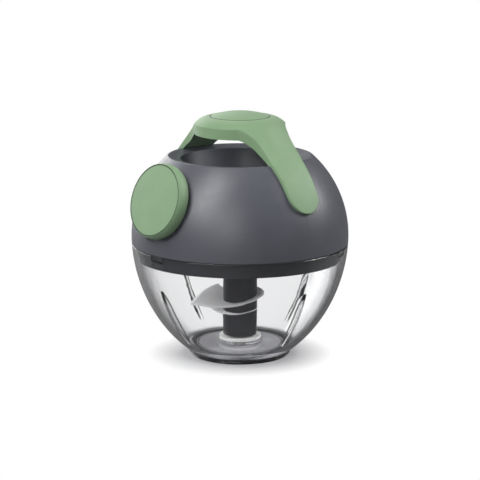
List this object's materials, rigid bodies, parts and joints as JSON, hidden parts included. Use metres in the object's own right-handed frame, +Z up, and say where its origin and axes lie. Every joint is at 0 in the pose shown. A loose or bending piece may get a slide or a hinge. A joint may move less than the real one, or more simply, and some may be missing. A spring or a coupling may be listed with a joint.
{
  "type": "mini garlic chopper",
  "caption": "Hand-pulled mini garlic chopper: clear bowl, ball-shaped lid with bridge handle, and a pull knob that spins steel blades by a cord and a sprung reel.",
  "frame": {"origin": "centre of the foot's flat face, on the blade column's axis", "axes": "+Z up along the blade column's axis, -Y towards the pull knob, the handle spans from -X to +X"},
  "size_m": [0.096, 0.1005, 0.109],
  "materials": {
    "clear_bowl": "clear glossy plastic",
    "base_grey": "satin moulded silicone",
    "foot_rubber": "matte",
    "steel": "turned",
    "blade_steel": "brushed, with a ground edge",
    "spring_steel": "rolled strip",
    "white_plastic": "satin",
    "dark_plastic": "satin",
    "lid_plastic": "fine soft-touch grain",
    "silicone": "satin",
    "green_plastic": "soft-touch",
    "green_inlay": "soft-touch",
    "cord": "braided"
  },
  "bodies": {
    "bowl_body": {"bowl": "clear_bowl", "base_disc": "base_grey", "anti_slip_ring": "foot_rubber", "spindle_pin": "steel", "pin_washer": "white_plastic"},
    "lid": {"dome_shell": "lid_plastic", "lid_cover": "dark_plastic", "rim_gasket": "silicone", "cover_screws": "steel", "handle_bridge": "green_plastic", "handle_inlay": "green_inlay", "handle_screws": "steel", "cord_eyelet": "steel", "axle_post": "white_plastic", "recoil_spring": "spring_steel", "pull_cord": "cord"},
    "blades": {"column_base": "dark_plastic", "lower_blade": "blade_steel", "column_spacer": "dark_plastic", "upper_blade": "blade_steel", "column_top": "dark_plastic", "column_rod": "steel"},
    "reel": {"cord_reel": "white_plastic", "reel_cap": "white_plastic", "cord_winding": "cord"},
    "knob": {"knob_body": "green_plastic", "knob_cap": "green_inlay", "cord_knot": "cord"}
  },
  "joints": [
    {"name": "lid_lift", "type": "slide", "parent": "bowl_body", "child": "lid", "axis": [0, 0, 1], "range_m": [0, 0.07]},
    {"name": "knob_pull", "type": "slide", "parent": "lid", "child": "knob", "axis": [0, -0.9511, 0.309], "range_m": [0, 0.28], "stiffness_N_per_m": 6, "springref_m": -0.2, "deforming": ["pull_cord"]},
    {"name": "reel_spin", "type": "hinge", "parent": "lid", "child": "reel", "pos_m": [0, 0, 0.0627], "axis": [0, 0, 1], "range_deg": [0, 1017.3], "deforming": ["recoil_spring"]},
    {"name": "blade_spin", "type": "hinge", "parent": "bowl_body", "child": "blades", "pos_m": [0, 0, 0.009], "axis": [0, 0, 1], "range_deg": [0, 1017.3]}
  ],
  "couplings": [
    {"joint": "reel_spin", "follows": "knob_pull", "rad_per_m": 63.411},
    {"joint": "blade_spin", "follows": "knob_pull", "rad_per_m": 63.411}
  ]
}
